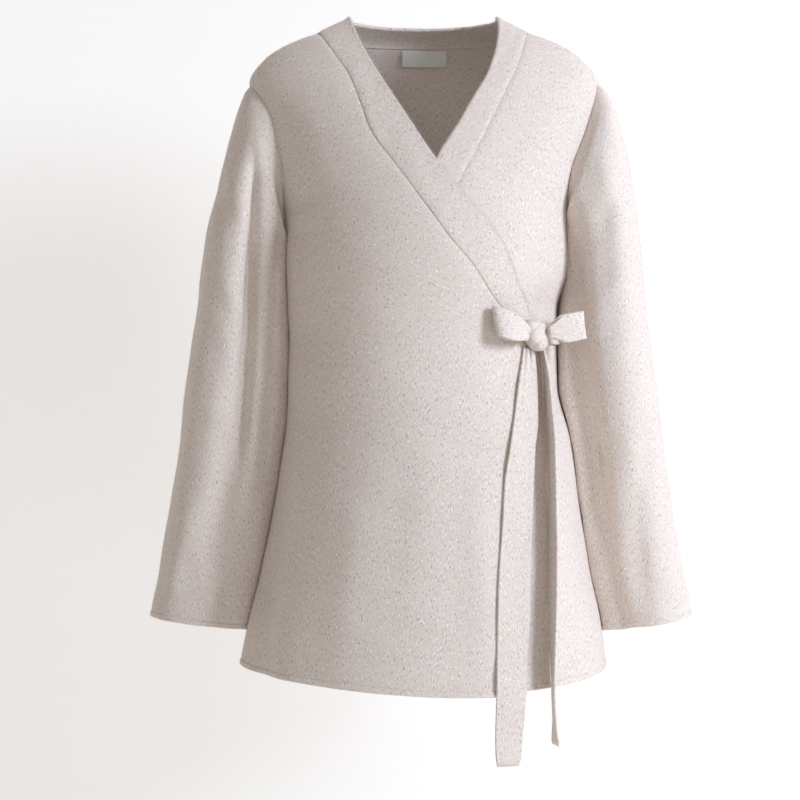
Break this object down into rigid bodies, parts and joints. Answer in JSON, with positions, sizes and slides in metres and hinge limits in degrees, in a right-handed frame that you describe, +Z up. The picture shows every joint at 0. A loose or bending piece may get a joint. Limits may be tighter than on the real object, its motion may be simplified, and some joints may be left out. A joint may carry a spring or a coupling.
{
  "type": "wrap cardigan",
  "caption": "Wrap cardigan in oatmeal felted wool knit with a V neckband, flared sleeves and a bow at the left waist, filled out as worn.",
  "frame": {"origin": "middle of the neck, level with the shoulder seams, where a wearer's shoulders hold the garment", "axes": "+Z up, +X to the wearer's left, -Y to the front"},
  "size_m": [0.576, 0.2956, 0.7734],
  "materials": {
    "felted_wool_knit": "fine knit in an oatmeal melange wool, lightly felted, with a soft nap",
    "woven_label": "bare woven satin, off white"
  },
  "bodies": {
    "root": {"back": "felted_wool_knit", "front_right": "felted_wool_knit", "front_left": "felted_wool_knit", "sleeve_right": "felted_wool_knit", "sleeve_left": "felted_wool_knit", "neckband": "felted_wool_knit", "tie_round_back": "felted_wool_knit", "bow_knot": "felted_wool_knit", "bow_loop_left": "felted_wool_knit", "bow_loop_right": "felted_wool_knit", "tail_long": "felted_wool_knit", "tail_short": "felted_wool_knit", "label": "woven_label"}
  },
  "joints": []
}
